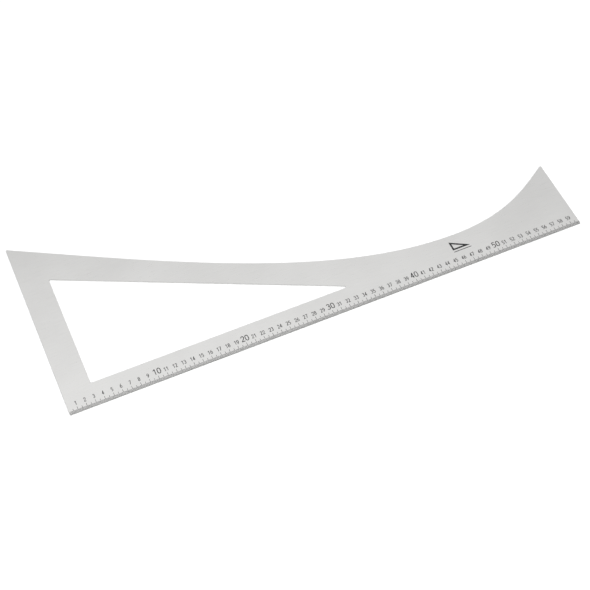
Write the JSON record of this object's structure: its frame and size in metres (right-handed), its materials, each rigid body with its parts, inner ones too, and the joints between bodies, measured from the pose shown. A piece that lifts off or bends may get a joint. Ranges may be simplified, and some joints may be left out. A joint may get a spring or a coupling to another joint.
{
  "type": "set square",
  "caption": "Flat aluminium set square with a right angle, a printed centimetre scale on its long edge, a triangular window and a long hollow curve opposite the right angle.",
  "frame": {"origin": "on the underside, under the middle of the rectangle that the plate fills", "axes": "+X along the scale edge, from the right-angle corner to the heel; +Y up the short leg; +Z out of the printed face"},
  "size_m": [0.6, 0.2348, 0.0015],
  "materials": {
    "aluminium_plate": "satin natural anodised",
    "scale_ink": "matt dark grey printed ink"
  },
  "bodies": {
    "root": {"plate": "aluminium_plate"}
  },
  "joints": []
}
